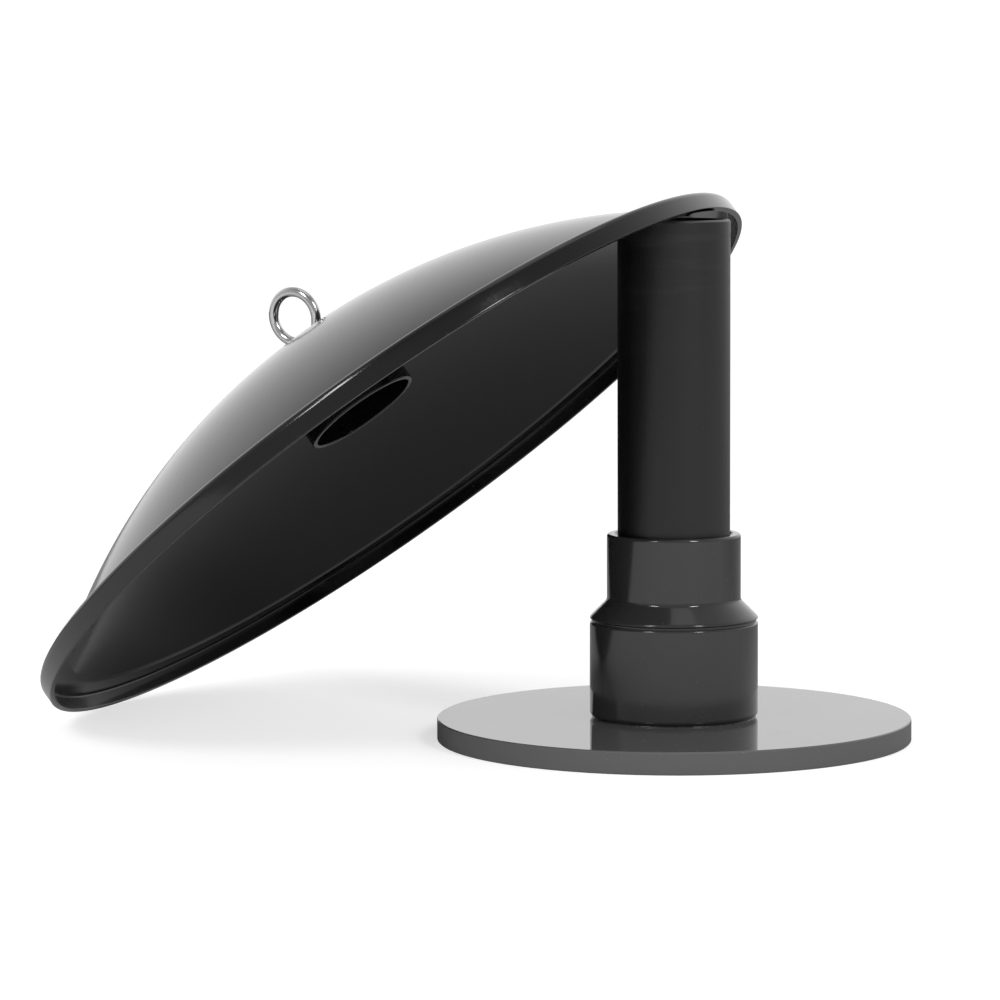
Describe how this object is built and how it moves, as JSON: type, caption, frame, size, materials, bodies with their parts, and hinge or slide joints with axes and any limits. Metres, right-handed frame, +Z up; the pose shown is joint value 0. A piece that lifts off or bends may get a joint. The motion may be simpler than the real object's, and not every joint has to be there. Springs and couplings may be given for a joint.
{
  "type": "lift-off dome on a pipe stand",
  "caption": "Shallow black plastic dome with a lifting eye and a centre socket, leaning on the pipe stand it fits over: round base plate, pipe reducer and pipe.",
  "frame": {"origin": "centre of the base plate's flat underside", "axes": "+Z up along the pipe; the dome leans towards -X, so XZ is its plane of symmetry"},
  "size_m": [0.5894, 0.574, 0.3647],
  "materials": {
    "plate_pvc": "turned edge, satin to gloss top",
    "pvc_cement": "dried cement, glossy",
    "reducer_pvc": "glossy injection moulding",
    "pipe_pvc": "satin extruded, faint scuffs",
    "dome_plastic": "high-gloss thermoformed sheet",
    "cap_pvc": "glossy injection moulding",
    "pad_rubber": "matt",
    "stainless": "fine machined",
    "stainless_polished": "polished round bar"
  },
  "bodies": {
    "stand": {"base_plate": "plate_pvc", "base_cement": "pvc_cement", "reducer": "reducer_pvc"},
    "pipe": {"standpipe": "pipe_pvc"},
    "dome": {"dome_shell": "dome_plastic", "end_cap": "cap_pvc", "crown_pad": "pad_rubber", "top_washer": "stainless", "eye_bolt": "stainless_polished", "inner_washer": "stainless", "lock_nut": "stainless"}
  },
  "joints": [
    {"name": "pipe_pull", "type": "slide", "parent": "stand", "child": "pipe", "axis": [0, 0, 1], "range_m": [0, 0.05]},
    {"name": "dome_lift", "type": "slide", "parent": "pipe", "child": "dome", "axis": [0, 0, 1], "range_m": [0, 0.36]}
  ]
}
